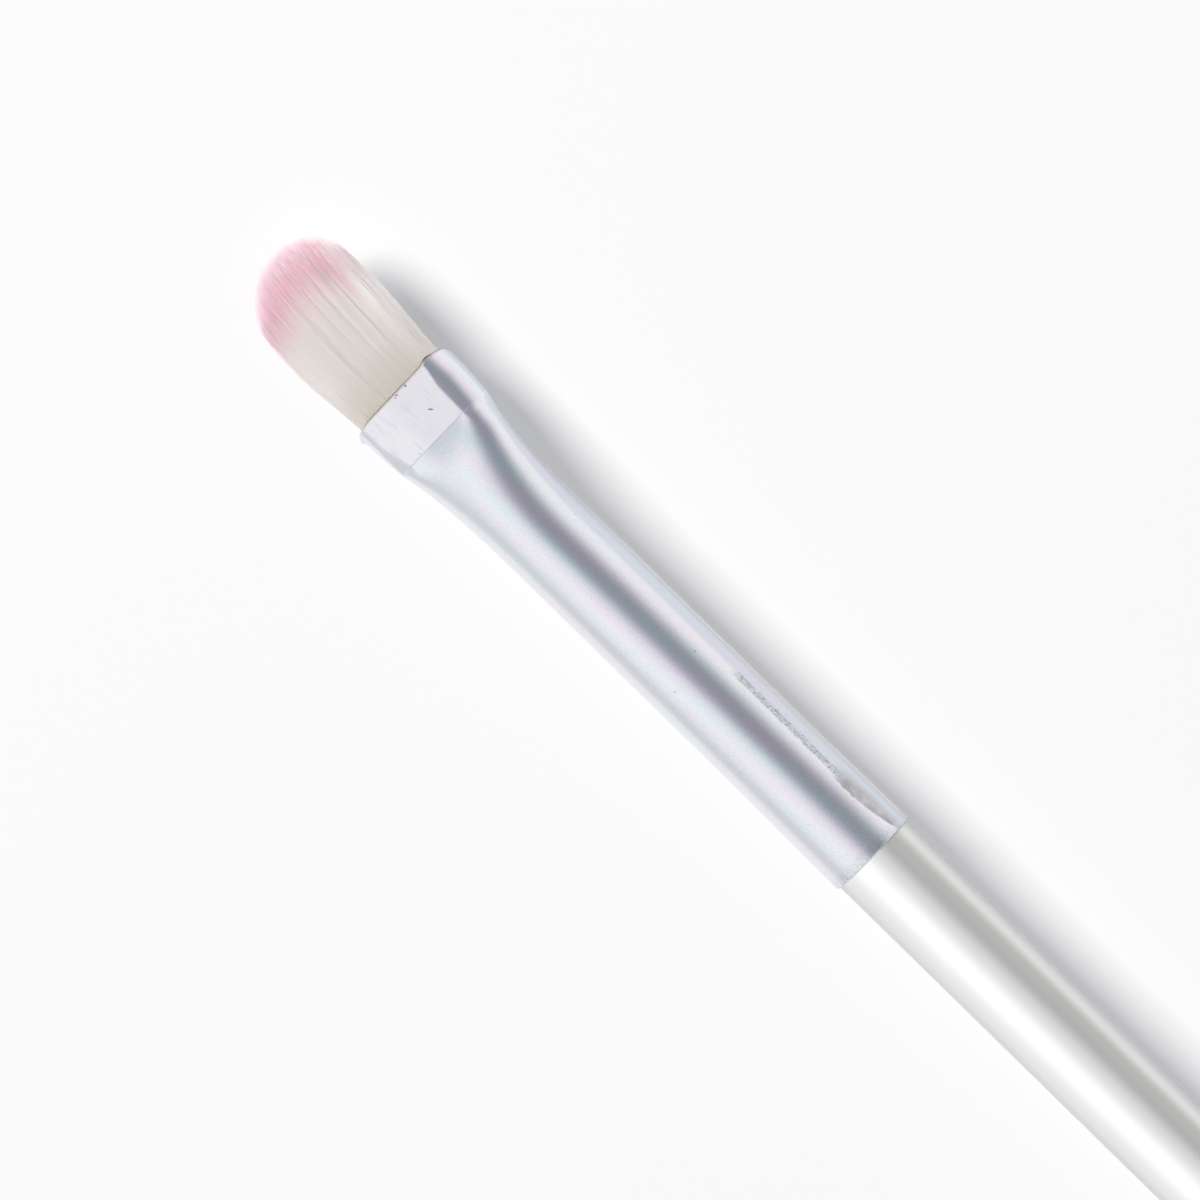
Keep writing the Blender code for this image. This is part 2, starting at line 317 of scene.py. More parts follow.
def buildFerrule(material):
    look = ferruleLook
    wall = look["wall"]
    length = mouthX - rimX
    # Each row: how far behind the mouth, how deep in the wall, share of the lean of the cut edge. They run back
    # along the outside, over the rim and forward again inside
    fine = np.arange(look["ringStep"], look["padLength"] - 0.1 * mm, look["ringStep"])
    crease = look["padLength"] + np.array([-0.06, -0.02, 0.02, 0.06, 0.12, 0.2, 0.3]) * mm
    rising = np.arange(look["padLength"] + 0.45 * mm, length - look["edgeRound"], look["ringStepRear"])
    rows = [(depth, 0.0, 0.0) for depth in [*fine, *crease, *rising]]
    rows += [(depth, inset, 0.0) for depth, inset in roundedEdge(length, -1, wall, look["edgeRound"])]
    rows += [(depth, wall, 0.0) for depth in np.arange(length - 1 * mm, 0.9 * mm, -0.6 * mm)]
    # Over the mouth's edge the wall leans forward, most at its inner side
    leans = (1.0, 0.0), (0.98, 0.75), (0.9, 1.0), (0.74, 1.0), (0.5, 0.84), (0.3, 0.58), (0.14, 0.3)
    for share, lipShare in leans:
        rows.append((0.0 if lipShare else 0.5 * mm, wall * share, lipShare))
    rows += [(0.01 * mm, wall * 0.04, 0.1), (0.05 * mm, 0.0, 0.0)]
    points, faces = skinOver([ferruleRing(*row) for row in rows], closed=True)
    piece = newPiece("ferruleTube", points, faces, "ferrule", material, "ferrule")
    storeOnPoints(piece, "cutEdge", np.repeat([row[2] for row in rows], look["sides"]))


# Handle

handleLook = {
    "gripRadius": 2.9 * mm,
    "gripLength": 30.0 * mm,
    "bellyPlace": 62.0 * mm,
    "buttRadius": 2.0 * mm,
    "buttRound": 1.8 * mm,
    "shoulderRound": 0.05 * mm,
    "shoulderGap": 0.005 * mm,
    "tenonRadius": 2.6 * mm,
    "tenonLength": 19.0 * mm,
    "tenonChamfer": 1.0 * mm,
    "grooveDepth": 0.4 * mm,
    "grooveWidth": 1.4 * mm,
    "grooveFirst": 3.5 * mm,
    "grooveStep": 5.0 * mm,
    "grooves": 3,
    "gateRadius": 0.55 * mm,  # moulding gate left in the middle of the butt
    "gateDepth": 0.08 * mm,
    "sides": 160,
}


def handleRadius(behindRim, length):
    look = handleLook
    grown = ease((behindRim - look["gripLength"]) / (look["bellyPlace"] - look["gripLength"]))
    shrunk = ease((behindRim - look["bellyPlace"]) / (length - look["bellyPlace"]))
    return mix(mix(look["gripRadius"], rimRadius, grown), look["buttRadius"], shrunk)


def handleProfile():
    # (x, radius) from the tenon's end to the middle of the butt
    look = handleLook
    length = rimX - handleLow.x
    end = handleHigh.x
    shoulder = end - look["tenonLength"]
    face = rimX - look["shoulderGap"]
    tenon = look["tenonRadius"]
    profile = [(end, 0.0), (end, tenon - look["tenonChamfer"]), (end - look["tenonChamfer"], tenon)]
    for index in reversed(range(look["grooves"])):
        middle = shoulder + look["grooveFirst"] + look["grooveStep"] * index
        front = middle + look["grooveWidth"] / 2
        back = middle - look["grooveWidth"] / 2
        floor = tenon - look["grooveDepth"]
        profile += [(front, tenon), (front, floor), (back, floor), (back, tenon)]
    corner = look["shoulderRound"]
    profile += [(face, tenon), (face, look["gripRadius"] - corner)]
    for angle in np.radians([15, 30, 45, 60, 75, 90]):
        reach = corner * (1 - math.cos(angle))
        profile.append((face - reach, look["gripRadius"] - corner * (1 - math.sin(angle))))
    roundStart = length - look["buttRound"]
    for place in np.linspace(1 * mm, roundStart, 90):
        profile.append((rimX - place, handleRadius(place, length)))
    for angle in np.linspace(math.pi / 2, 0.22, 14)[1:]:  # short of the middle, where the gate is
        reach = look["buttRound"] * (1 - math.cos(angle))
        profile.append((handleLow.x + reach, handleRadius(roundStart, length) * math.sin(angle)))
    return profile


def buildHandle(material):
    look = handleLook
    profile = handleProfile()
    # The gate is a shallow dimple in the middle of the butt. Radius and depth of each ring, as shares
    buttX, lastRadius = profile[-1]
    for radius, sunk in ((1.25, 0.0), (1.05, 0.35), (0.9, 0.9), (0.6, 1.0)):
        x = mix(buttX, handleLow.x, 0.6) + look["gateDepth"] * sunk
        profile.append((x, min(lastRadius, look["gateRadius"]) * radius))
    angles = 2 * math.pi * (np.arange(look["sides"]) + 0.5) / look["sides"]
    rings = []
    for x, radius in profile[1:]:
        across, up = radius * np.cos(angles), radius * np.sin(angles)
        rings.append(np.column_stack([np.full(len(angles), x), across, axisZ + up]))
    piece = newPiece("handleBody", *skinOver(rings), "handle", material, "handle")
    piece.data.set_sharp_from_angle(angle=math.radians(50))


# Tuft

tuftLook = {
    "fibres": 6400,
    "outerPitch": 0.7,  # the two outer layers stand closer, as a share of the usual distance
    "fibreWidth": 0.054 * mm,
    "tipWidth": 0.12,  # width just before the point, as a share
    "taperLength": 4.2 * mm,
    "length": 11.88 * mm,
    "rootDepth": 2.3 * mm,  # the fibres start inside the resin
    "sideRounding": (2.85 * mm, 3.7 * mm),  # on the near side and the far side
    "faceRounding": 1.0 * mm,
    "spread": 0.125,  # how much wider than the mouth
    "spreadEnd": 0.5,
    "swell": 0.25,  # how much thicker halfway, and thinner at the tip
    "thinning": 0.5,
    "lean": 0.50 * mm,  # the tip is combed this far to -Y
    "edgeHold": 0.75,  # but less along the near edge
    "clumps": 620,
    "clumpPull": 0.05,  # how far the strands of a wisp draw together at their very end
    "clumpRagged": 0.09 * mm,
    "fibreRagged": (0.42 * mm, 1.3 * mm, 0.9 * mm),  # in the middle, on the near side and on the far side
    "overBox": 0.20 * mm,  # the furthest that a strand stands outside the part's box
    "bendIn": 0.25 * mm,
    "strayShare": 0.006,
    "stray": 0.13 * mm,
    "wander": 0.012 * mm,
    "sides": 4,
    "middleLayer": 0.36,  # mm, half its height
    "sliceDepths": (2.0, 2.04, 2.7, 3.36, 3.4),  # mm, rings of the resin's slice
    "seed": 5,
}


def fibreRoots(shuffle):
    # Roots close together over the whole mouth, in layers along its outline, so the tuft's surface is even
    look = tuftLook
    flat = halfFlat(0.0)
    radius = endRadius(0.0) - ferruleLook["wall"] - ferruleLook["padDepth"] - look["fibreWidth"] / 2
    area = 4 * flat * radius + math.pi * radius * radius
    pitch = math.sqrt(area / look["fibres"] / math.sin(math.pi / 3))
    angles = np.radians(np.concatenate([np.linspace(-90, 90, 60), np.linspace(90, 270, 60), [270]]))
    middles = flat * np.repeat([1, -1, 1], [60, 60, 1])
    roots = []
    for index, layerRadius in enumerate(np.arange(radius, 0, -pitch * math.sin(math.pi / 3))):
        layerPitch = pitch * (look["outerPitch"] if index < 2 else 1)
        outline = np.column_stack([middles + layerRadius * np.cos(angles), layerRadius * np.sin(angles)])
        reached = np.concatenate([[0], np.cumsum(np.hypot(*np.diff(outline, axis=0).T))])
        count = int(reached[-1] / layerPitch)
        wanted = (np.arange(count) + shuffle.random()) / count * reached[-1] % reached[-1]
        roots.append(np.column_stack([np.interp(wanted, reached, outline[:, side]) for side in (0, 1)]))
    roots = np.concatenate(roots)
    return roots + shuffle.normal(0, 0.10 * pitch, roots.shape), flat + radius, radius


def fibrePaths():
    # Middle line of every fibre, its length and a number for its tone
    look = tuftLook
    shuffle = np.random.default_rng(look["seed"])
    roots, widest, thickest = fibreRoots(shuffle)
    count = len(roots)
    centres = roots[shuffle.choice(count, look["clumps"], replace=False)]
    nearest = np.argmin(((roots[:, None] - centres[None]) ** 2).sum(2), axis=1)
    clumpLength = shuffle.normal(0, look["clumpRagged"], look["clumps"])
    clumpTone = shuffle.normal(0, 1, look["clumps"])
    side = np.clip(np.abs(roots[:, 0]) / widest, 0, 1)
    face = np.clip(np.abs(roots[:, 1]) / thickest, 0, 1)
    rounding = np.where(roots[:, 0] < 0, *look["sideRounding"]) * (1 - np.sqrt(1 - side ** 2))
    length = look["length"] - rounding - look["faceRounding"] * face ** 2
    inner, near, far = look["fibreRagged"]
    ragged = np.abs(shuffle.normal(0, 1, count)) * mix(inner, np.where(roots[:, 0] < 0, near, far), side ** 2)
    length = np.minimum(length + clumpLength[nearest] - ragged, look["length"])
    drift = shuffle.normal(0, look["wander"], (count, 2))
    strays = shuffle.random(count) < look["strayShare"]
    drift[strays] += shuffle.normal(0, look["stray"], (strays.sum(), 2)) * (1.0, 0.12)
    shares = np.array([0.0, 0.16, 0.32, 0.48, 0.63, 0.77, 0.88, 0.96, 1.0])
    reach = shares[None] * length[:, None]
    part = reach / look["length"]
    wider = 1 + look["spread"] * ease(part / look["spreadEnd"])
    thicker = 1 + look["swell"] * 4 * part * (1 - part) - look["thinning"] * part ** 2
    pull = look["clumpPull"] * shares ** 9
    across = mix(roots[:, :1], centres[nearest][:, :1], pull) * wider
    up = roots[:, 1:] * thicker
    # The near edge leans less, so that its strands don't crowd together
    lean = look["lean"] * (1 - look["edgeHold"] * (side ** 2) * (roots[:, 0] < 0))
    across += drift[:, :1] * part ** 1.5 - lean[:, None] * part ** 2
    # Strands on their way out of the part's box bend in softly
    limit = cadBox[1].y + look["overBox"] - look["bendIn"]
    beyond = np.maximum(0, np.abs(across) - limit)
    held = np.minimum(np.abs(across), limit) + look["bendIn"] * np.tanh(beyond / look["bendIn"])
    across = np.sign(across) * held
    up += drift[:, 1:] * part ** 1.5
    start = np.column_stack([np.full(count, -look["rootDepth"]), roots])
    path = np.dstack([reach, across, up])
    path = np.concatenate([start[:, None], path], axis=1)
    tone = 0.4 * clumpTone[nearest] + 0.8 * shuffle.normal(0, 1, count)
    return roots, path, length, tone


def fibreMesh(name, path, length, tone, material):
    look = tuftLook
    count, rings = path.shape[:2]
    sides = look["sides"]
    angles = 2 * math.pi * np.arange(sides) / sides
    fromTip = length[:, None] - path[:, :, 0]
    taper = mix(look["tipWidth"], 1.0, ease(fromTip / look["taperLength"]))
    radius = look["fibreWidth"] / 2 * taper
    tube = np.empty((count, rings - 1, sides, 3))
    tube[..., 0] = path[:, :-1, None, 0]
    tube[..., 1] = path[:, :-1, None, 1] + radius[:, :-1, None] * np.cos(angles)
    tube[..., 2] = path[:, :-1, None, 2] + radius[:, :-1, None] * np.sin(angles)
    tips = path[:, -1]
    each = (rings - 1) * sides + 1
    points = np.concatenate([tube.reshape(count, -1, 3), tips[:, None]], axis=1) + (mouthX, 0.0, axisZ)
    oneFibre = [tuple(range(sides))]
    for ring in range(rings - 2):
        for index in range(sides):
            low, after = ring * sides + index, ring * sides + (index + 1) % sides
            oneFibre.append((low, low + sides, after + sides, after))
    lastRing = (rings - 2) * sides
    for index in range(sides):
        oneFibre.append((lastRing + index, each - 1, lastRing + (index + 1) % sides))
    faces = [tuple(at + fibre * each for at in face) for fibre in range(count) for face in oneFibre]
    piece = newPiece(name, points.reshape(-1, 3).tolist(), faces, "bristles", material, "bristle_tuft")
    values = np.concatenate([np.repeat(fromTip[:, :-1], sides, axis=1), fromTip[:, -1:]], axis=1)
    storeOnPoints(piece, "fromTip", (values / mm).ravel())
    storeOnPoints(piece, "tone", np.repeat(tone, each))


def buildTuft(material, resin):
    roots, path, length, tone = fibrePaths()
    height, half = roots[:, 1] / mm, tuftLook["middleLayer"]
    groups = {"fibresUpper": height > half, "fibresMiddle": np.abs(height) <= half, "fibresLower": height < -half}
    for name, chosen in groups.items():
        fibreMesh(name, path[chosen], length[chosen], tone[chosen], material)
    # Slice of resin that the roots stand in
    inset = ferruleLook["wall"] + 0.1 * mm
    rings = [ferruleRing(depth, inset) for depth in np.array(tuftLook["sliceDepths"]) * mm]
    newPiece("rootSlice", *skinOver(rings), "resin", resin, "bristle_tuft")
    print("tuft of", len(roots), "fibres")


# Materials

smooth = {"interpolation_type": "SMOOTHSTEP"}  # for a range whose two ends run out softly


def smoothBand(tree, value, middle, half, soft):
    # 1 within half of the middle, falling to 0 over soft
    away = addNode(tree, "Math", {0: value, 1: middle}, operation="SUBTRACT")
    apart = addNode(tree, "Math", {0: away}, operation="ABSOLUTE")
    return addNode(tree, "MapRange", {"Value": apart, "From Min": half + soft, "From Max": half}, **smooth)


def mottle(tree, place, size, detail, roughness=0.5, alongShare=1.0):
    # Noise in patches of a size in mm, drawn out along the brush where alongShare is under 1
    drawn = addNode(tree, "VectorMath", {0: place, 1: (alongShare, 1.0, 1.0)}, operation="MULTIPLY")
    return addNode(tree, "TexNoise", {"Vector": drawn, "Scale": 1 / size, "Detail": detail, "Roughness": roughness})


def asSeen(tree, place):
    # How far a point lies across the brush as it is seen from 26 degrees to the near side, in mm
    tilt = math.radians(stageLook["camRoll"])
    seen = (0.0, -math.cos(tilt), -math.sin(tilt))
    return addNode(tree, "VectorMath", {0: place, 1: seen}, operation="DOT_PRODUCT")


def spot(tree, along, across, alongAt, acrossAt, half, narrow, turn):
    # 1 inside a small slanting ellipse with a soft edge
    shift = addNode(tree, "CombineXYZ", {0: along, 1: across})
    moved = addNode(tree, "VectorMath", {0: shift, 1: (alongAt, acrossAt, 0.0)}, operation="SUBTRACT")
    turned = addNode(tree, "VectorRotate", {"Vector": moved, "Angle": math.radians(turn)}, rotation_type="Z_AXIS")
    shaped = addNode(tree, "VectorMath", {0: turned, 1: (1 / half, 1 / narrow, 1.0)}, operation="MULTIPLY")
    away = addNode(tree, "VectorMath", {0: shaped}, operation="LENGTH")
    return addNode(tree, "MapRange", {"Value": away, "From Min": 1.3, "From Max": 0.7}, **smooth)


def product(tree, *factors):
    value = factors[0]
    for factor in factors[1:]:
        value = addNode(tree, "Math", {0: value, 1: factor}, operation="MULTIPLY")
    return value


def layCoats(tree, colour, *coats, blend="MIX"):
    # Colours over the first one. Each coat is one or more shares, which multiply, and then its colour
    for *shares, coat in coats:
        colour = addNode(tree, "Mix", {0: product(tree, *shares), 6: colour, 7: coat}, data_type="RGBA",
                         blend_type=blend)
    return colour


pearlLook = {
    "base": "#EFF0F2",
    "teal": "#E4F1F3",
    "lavender": "#F2E7F3",
    "tintPatch": 8.333,  # mm, size of the tint's uneven patches
    "tintUneven": 3.0,
    "driftLength": 17.9,  # mm from one lavender stretch to the next
    "filmTurn": 7.0,  # how fast the tint changes round the tube
    "filmStart": 1.53,
    "filmStartFar": -0.17,
    # painted shade low on the near side, and a painted reflection of the lit table above the outline
    "cool": "#E7EBF1",
    "warm": "#FFFAF4",
    "shoulderTint": "#F1E4EF",
    # Bands in mm, along the brush from the mouth or across it as seen: middle, half width, soft edge
    "shoulderLine": (2.90, 0.08, 0.22),
    "padAlong": (-1.8, 1.82, 0.12),
    "climbAcross": (-0.1, 0.8, 1.4),
    "scuffAlong": (-31.2, 3.9, 1.1),
    "scuffAcross": (2.12, 0.12, 0.12),
    "patchAlong": (-38.3, 1.9, 1.7),
    "patchLine": (1.69, 0.02, 0.07),
    "rimAlong": (-40.45, 0.10, 0.14),
    "cornerAcross": (2.55, 0.22, 0.25),
    "roughness": 0.25,
    "pad": "#EAE9EE",
    "padFar": "#F1F0F4",
    "behindPad": "#DEE2E8",       # painted shade where the metal climbs and would mirror a darker part of the room
    "padWorn": "#DDDEE4",
    "wearPatch": 1.111,  # mm, size of the clouds of wear
    "padEnd": 3.7,  # mm behind the mouth
    "stepLine": (0.012, 0.05),  # mm, half width and soft edge of the line at its end
    # painted shade along the step where the die mark ends
    "stepColour": "#A9ACBC",
    "stepStrength": 0.36,
    "padRoughness": 0.36,
    "cutEdge": "#B9A6A6",
    # painted shadow at the mouth's near corner
    "cutCorner": "#6B706E",
    "grain": 0.12,  # mm, fine mottle of the lacquer, drawn coarse enough to show
    "grainHeight": 0.0009,  # mm
    "grainColour": "#BFC3CE",
    "grainStrength": 0.30,
    "padStreak": 0.24,  # mm across between fine lines on the die mark
    "padStreakHeight": 0.002,  # mm
    # Each nick: mm along, mm across as seen, half length, half width, turn in degrees, strength
    "nicks": ((-2.15, 0.49, 0.16, 0.055, 42.0, 0.75), (-0.03, 0.43, 0.09, 0.06, 10.0, 0.8),
              (-0.05, -0.36, 0.10, 0.05, 60.0, 0.7), (-0.10, -0.52, 0.05, 0.05, 0.0, 0.6),
              (-24.0, 1.22, 0.05, 0.05, 0.0, 0.6), (-24.86, -1.41, 0.05, 0.05, 0.0, 0.6),
              (-12.92, 2.08, 0.05, 0.04, 0.0, 0.5), (-3.55, -1.9, 0.04, 0.05, 0.0, 0.5)),
    "nick": "#5E4C5C",
    "scuff": "#77777C",
    "crumb": 0.1818,  # mm, ragged bits along the scuff's and the patch's edges
    "crumbReach": 0.26,  # mm
    "scuffGrit": 0.1111,  # mm, bits of lacquer left in the scuff
    "patch": "#A8A7AA",
    "patchEdge": "#F4F0F2",
    "patchDip": 36.6,  # mm behind the mouth, where the patch's lower edge lies lowest
    "patchCurl": 0.036,
    "fold": 0.7692,  # mm between wrinkles of the patch
    "foldHeight": 0.012,  # mm
    "rim": "#F3F2F4",
    "rimStrength": 0.2,
    "rimShade": "#B4BAC6",        # painted shade where the tube turns in on the handle, broken up like fine wear
    "rimShadeStrength": 0.45,
}


def pearlAluminium():
    # Drawn aluminium under a thin pearl lacquer: satin bands whose tint drifts from lavender to teal
    look = pearlLook
    material, tree = newMaterial("pearlLacqueredAluminium")
    place, along, aside, up = coordinatesInMm(tree)
    across = asSeen(tree, place)
    around = addNode(tree, "Math", {0: up, 1: aside}, operation="ARCTAN2")
    normal = addNode(tree, "TexCoord").outputs["Normal"]
    # The tint drifts along the tube and a little round it, unevenly
    patches = mottle(tree, place, look["tintPatch"], 1.0)
    turns = addNode(tree, "Math", {0: along, 1: 2 * math.pi / look["driftLength"]}, operation="MULTIPLY")
    swirl = addNode(tree, "Math", {0: around, 1: look["filmTurn"], 2: turns}, operation="MULTIPLY_ADD")
    uneven = addNode(tree, "Math", {0: patches, 1: look["tintUneven"], 2: swirl}, operation="MULTIPLY_ADD")
    # and runs ahead on the far side
    ahead = addNode(tree, "MapRange", {"Value": around, "From Min": 2.2, "From Max": 1.2,
                                       "To Min": look["filmStart"], "To Max": look["filmStartFar"]})
    phase = addNode(tree, "Math", {0: uneven, 1: ahead}, operation="ADD")
    wave = addNode(tree, "Math", {0: phase}, operation="SINE")
    share = addNode(tree, "MapRange", {"Value": wave, "From Min": -1.0})
    tint = layCoats(tree, look["teal"], (share, look["lavender"]))
    # The lacquer's pearl tint is painted strongest in the stripe along the tube that faces the camera, a painted
    # reflection colour
    stripe = addNode(tree, "VectorMath", {0: normal, 1: (0.0, -0.45, 0.89)}, operation="DOT_PRODUCT")
    strength = addNode(tree, "MapRange", {"Value": stripe, "From Min": 0.88, "From Max": 0.975, "To Min": 0.32,
                                          "To Max": 0.72}, **smooth)
    base = layCoats(tree, look["base"], (strength, tint))
    # and is painted cool and darker low on the near side, a painted reflection of the table in shadow
    low = addNode(tree, "VectorMath", {0: normal, 1: (0.0, -0.995, 0.10)}, operation="DOT_PRODUCT")
    cool = addNode(tree, "MapRange", {"Value": low, "From Min": 0.955, "From Max": 0.99}, **smooth)
    base = layCoats(tree, base, (cool, look["cool"]), blend="MULTIPLY")
    # Just above its outline a thin warm line, a painted reflection of the lit table
    under = addNode(tree, "VectorMath", {0: normal, 1: (0.0, -0.899, -0.438)}, operation="DOT_PRODUCT")
    warm = addNode(tree, "MapRange", {"Value": under, "From Min": 0.955, "From Max": 0.98})
    # A lavender line along the near shoulder of the die mark
    beside = addNode(tree, "MapRange", {"Value": along, "From Min": -4.6, "From Max": -3.2})
    shoulder = smoothBand(tree, across, *look["shoulderLine"])
    # Fine mottle of the sprayed lacquer
    grain = mottle(tree, place, look["grain"], 2.0)
    speckle = addNode(tree, "MapRange", {"Value": grain, "From Min": 0.5, "From Max": 0.8,
                                         "To Max": look["grainStrength"]})
    # The die mark is a little rougher, with fine worn lines along the brush
    height = addNode(tree, "Math", {0: up}, operation="ABSOLUTE")
    flatTop = addNode(tree, "MapRange", {"Value": height, "From Min": 1.34, "From Max": 1.38})
    pad = product(tree, smoothBand(tree, along, *look["padAlong"]), flatTop)
    padTone = addNode(tree, "MapRange", {"Value": across, "From Min": -1.6, "From Max": -1.0})
    padColour = layCoats(tree, look["padFar"], (padTone, look["pad"]))
    lines = mottle(tree, place, look["padStreak"], 4.0, 0.62, 0.14)
    worn = addNode(tree, "MapRange", {"Value": lines, "From Min": 0.46, "From Max": 0.72})
    clouds = mottle(tree, place, look["wearPatch"], 2.0)
    wornHere = addNode(tree, "MapRange", {"Value": clouds, "From Min": 0.42, "From Max": 0.60, "To Min": 0.2})
    colour = layCoats(tree, base, (warm, look["warm"]), (shoulder, beside, look["shoulderTint"]),
                      (speckle, look["grainColour"]), (pad, padColour), (pad, worn, wornHere, look["padWorn"]))
    # Behind it painted shade: darker where the metal climbs to the round tube
    end = -look["padEnd"]
    fallen = addNode(tree, "MapRange", {"Value": along, "From Min": -6.2, "From Max": end}, **smooth)
    started = addNode(tree, "MapRange", {"Value": along, "From Min": end + 0.05, "From Max": end - 0.02})
    climbing = smoothBand(tree, across, *look["climbAcross"])
    colour = layCoats(tree, colour, (fallen, started, climbing, look["behindPad"]), blend="MULTIPLY")
    # A fine dark line of painted shade along the step where the die mark ends, then nicks and specks
    step = smoothBand(tree, along, end, *look["stepLine"])
    colour = layCoats(tree, colour, (step, flatTop, look["stepStrength"], look["stepColour"]))
    near = addNode(tree, "MapRange", {"Value": up, "From Min": -0.4, "From Max": 0.0})
    for *shape, strength in look["nicks"]:
        mark = spot(tree, along, across, *shape)
        colour = layCoats(tree, colour, (mark, near, strength, look["nick"]))
    # A scuff on the near side
    crumbs = mottle(tree, place, look["crumb"], 4.0, 0.7, 0.5)
    ragged = addNode(tree, "Math", {0: crumbs, 1: look["crumbReach"], 2: across}, operation="MULTIPLY_ADD")
    scuffed = product(tree, smoothBand(tree, ragged, *look["scuffAcross"]),
                      smoothBand(tree, along, *look["scuffAlong"]))
    grit = mottle(tree, place, look["scuffGrit"], 3.0, 0.7)
    bits = addNode(tree, "MapRange", {"Value": grit, "From Min": 0.40, "From Max": 0.62, "To Min": 0.12,
                                      "To Max": 0.78})
    # A wrinkled patch of lacquer, whose lower edge curls up towards the rim
    run = addNode(tree, "Math", {0: along, 1: look["patchDip"]}, operation="ADD")
    lifted = addNode(tree, "Math", {0: product(tree, run, run), 1: -look["patchCurl"], 2: ragged},
                     operation="MULTIPLY_ADD")
    onPatch = smoothBand(tree, along, *look["patchAlong"])
    above = addNode(tree, "MapRange", {"Value": lifted, "From Min": 1.69, "From Max": 1.77})
    below = addNode(tree, "MapRange", {"Value": across, "From Min": 2.65, "From Max": 2.1})
    patch = product(tree, above, below, onPatch, near)
    wrinkles = mottle(tree, place, look["fold"], 5.0, 0.6, 0.7)
    creased = addNode(tree, "MapRange", {"Value": wrinkles, "From Min": 0.35, "From Max": 0.65, "To Min": 0.55})
    edgeLine = smoothBand(tree, lifted, *look["patchLine"])
    # Bare metal rubbed along the rim, painted shade where the tube turns in, a brownish-pink line along the mouth's
    # cut edge and painted shadow at its near corner
    rubbed = addNode(tree, "Math", {0: crumbs, 1: -0.5, 2: along}, operation="MULTIPLY_ADD")
    rimShadeMottle = addNode(tree, "MapRange", {"Value": crumbs, "From Min": 0.35, "From Max": 0.6})
    turnedIn = addNode(tree, "MapRange", {"Value": along, "From Min": -39.7, "From Max": -40.2})
    rim = smoothBand(tree, rubbed, *look["rimAlong"])
    edge = addNode(tree, "Attribute", attribute_name="cutEdge").outputs["Fac"]
    corner = smoothBand(tree, across, *look["cornerAcross"])
    colour = layCoats(tree, colour, (scuffed, near, bits, look["scuff"]), (patch, creased, look["patch"]),
                      (edgeLine, onPatch, near, look["patchEdge"]),
                      (turnedIn, rimShadeMottle, look["rimShadeStrength"], look["rimShade"]),
                      (rim, look["rimStrength"], look["rim"]), (edge, look["cutEdge"]),
                      (edge, corner, look["cutCorner"]))
    rough = addNode(tree, "Mix", {0: pad, 2: look["roughness"], 3: look["padRoughness"]})
    bump = addNode(tree, "Bump", {"Height": grain, "Distance": look["grainHeight"] * mm})
    for relief, reach in ((product(tree, lines, pad), look["padStreakHeight"]),
                          (product(tree, wrinkles, patch), look["foldHeight"])):
        bump = addNode(tree, "Bump", {"Height": relief, "Distance": reach * mm, "Normal": bump})
    shader = addNode(tree, "BsdfPrincipled", {
        "Base Color": colour, "Metallic": 1.0, "Roughness": rough, "Normal": bump})
    addNode(tree, "OutputMaterial", {"Surface": shader})
    return material


whiteLook = {
    "base": "#FAFAF8",
    "roughness": 0.40,
    "pearl": 0.33,  # share of mirror-like mica in the plastic
    "coatRoughness": 0.06,
    "ripple": 2.0,  # mm, slight unevenness of the moulding
    "rippleHeight": 0.002,  # mm
    "limbShade": "#DADAD8",            # painted shade along the outline as seen
    "sideShade": "#CECECD",            # painted shade along one side, where the handle turns from the light
    "sideShadeAngle": 144.0,  # degrees round the handle from +Y over the top
}


def pearlWhitePlastic():
    # Injection-moulded ABS with pearl pigment under a clear gloss: a soft broad sheen below a sharp one
    look = whiteLook
    material, tree = newMaterial("mouldedPearlWhiteAbs")
    place, _, aside, up = coordinatesInMm(tree)
    ripple = mottle(tree, place, look["ripple"], 1.0)
    bump = addNode(tree, "Bump", {"Height": ripple, "Distance": look["rippleHeight"] * mm})
    # Painted shade along the outline as seen
    facing = addNode(tree, "LayerWeight", {"Blend": 0.5}).outputs["Facing"]
    limbShade = addNode(tree, "MapRange", {"Value": facing, "From Min": 0.36, "From Max": 0.74}, **smooth)
    # and a painted shade in a band along one side
    around = addNode(tree, "Math", {0: up, 1: aside}, operation="ARCTAN2")
    sideShade = smoothBand(tree, around, math.radians(look["sideShadeAngle"]), 0.10, 0.34)
    colour = layCoats(tree, look["base"], (limbShade, look["limbShade"]))
    colour = layCoats(tree, colour, (sideShade, look["sideShade"]), blend="MULTIPLY")
    shader = addNode(tree, "BsdfPrincipled", {
        "Base Color": colour, "Metallic": look["pearl"], "Roughness": look["roughness"],
        "IOR": 1.54, "Coat Weight": 0.6, "Coat Roughness": look["coatRoughness"], "Normal": bump})
    addNode(tree, "OutputMaterial", {"Surface": shader})
    return material


fibreLook = {
    "ivory": "#E5DFDB",
    "pale": "#F7F4F2",
    "edge": "#FDFBFA",            # painted light along the tuft's two sides
    "root": "#E3DDD4",            # painted warm shade by the mouth
    "bright": "#FFFFFF",          # a few clear strands
    "dye": "#FEE6EE",
    "dyeTip": "#FBF5F8",
    "deepDye": "#FADFE8",
    "dyePatch": 1.111,  # mm, patches where the dye crept further
    "dyeReach": 5.6,  # mm from the tip to where it ends
    # Stripes along the tuft: mm across as seen, half width, how much further the dye crept
    "paleStripe": (1.72, 0.14, -0.3),
    "deepStripe": (2.35, 0.12, 0.6),
    "stripeEdge": 0.24,  # mm
    "ownEnd": 0.35,  # how far the dye follows each strand's own end
    "roughness": 0.38,
    "throughLight": 0.45,
}


